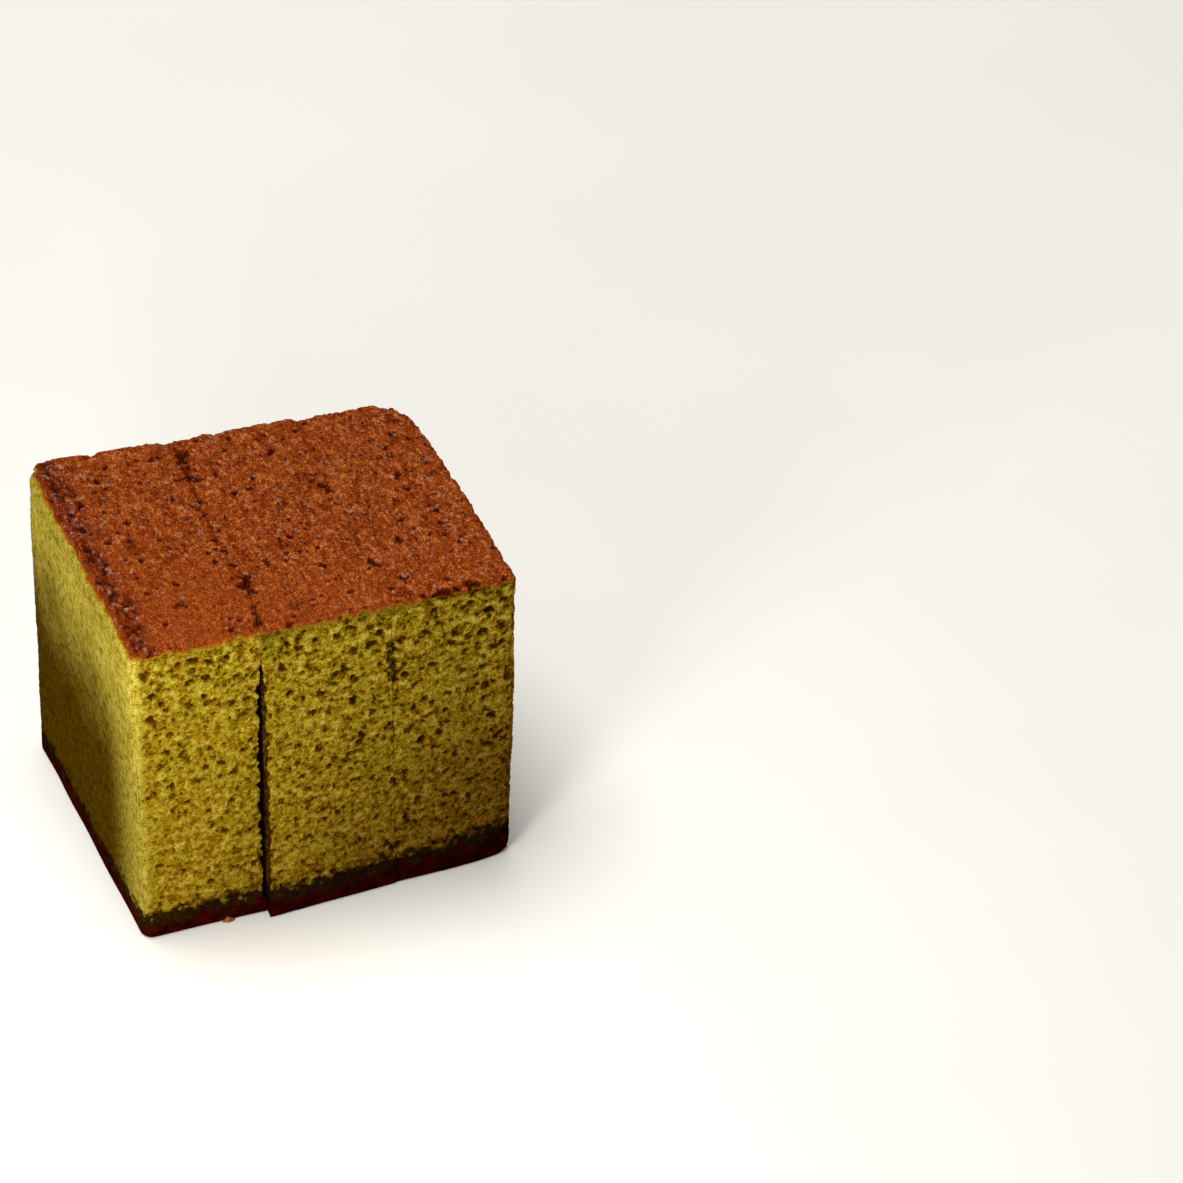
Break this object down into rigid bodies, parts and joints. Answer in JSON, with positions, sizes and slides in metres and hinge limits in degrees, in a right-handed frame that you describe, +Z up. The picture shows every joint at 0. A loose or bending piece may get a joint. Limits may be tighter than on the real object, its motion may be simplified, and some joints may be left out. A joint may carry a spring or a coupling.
{
  "type": "matcha castella",
  "caption": "Block of green tea sponge cake with a browned top and a dark bottom crust, cut into slices that still stand together.",
  "frame": {"origin": "under the middle of the block, on the plane that it stands on", "axes": "+Z up; +X across the slices, from left to right; +Y from the front cut face to the back"},
  "size_m": [0.0656, 0.056, 0.0579],
  "materials": {
    "matcha_sponge": "matte, open-pored green tea crumb between a browned top skin and a dark bottom crust"
  },
  "bodies": {
    "root": {"slice_left": "matcha_sponge", "slice_middle": "matcha_sponge", "slice_right": "matcha_sponge"}
  },
  "joints": []
}
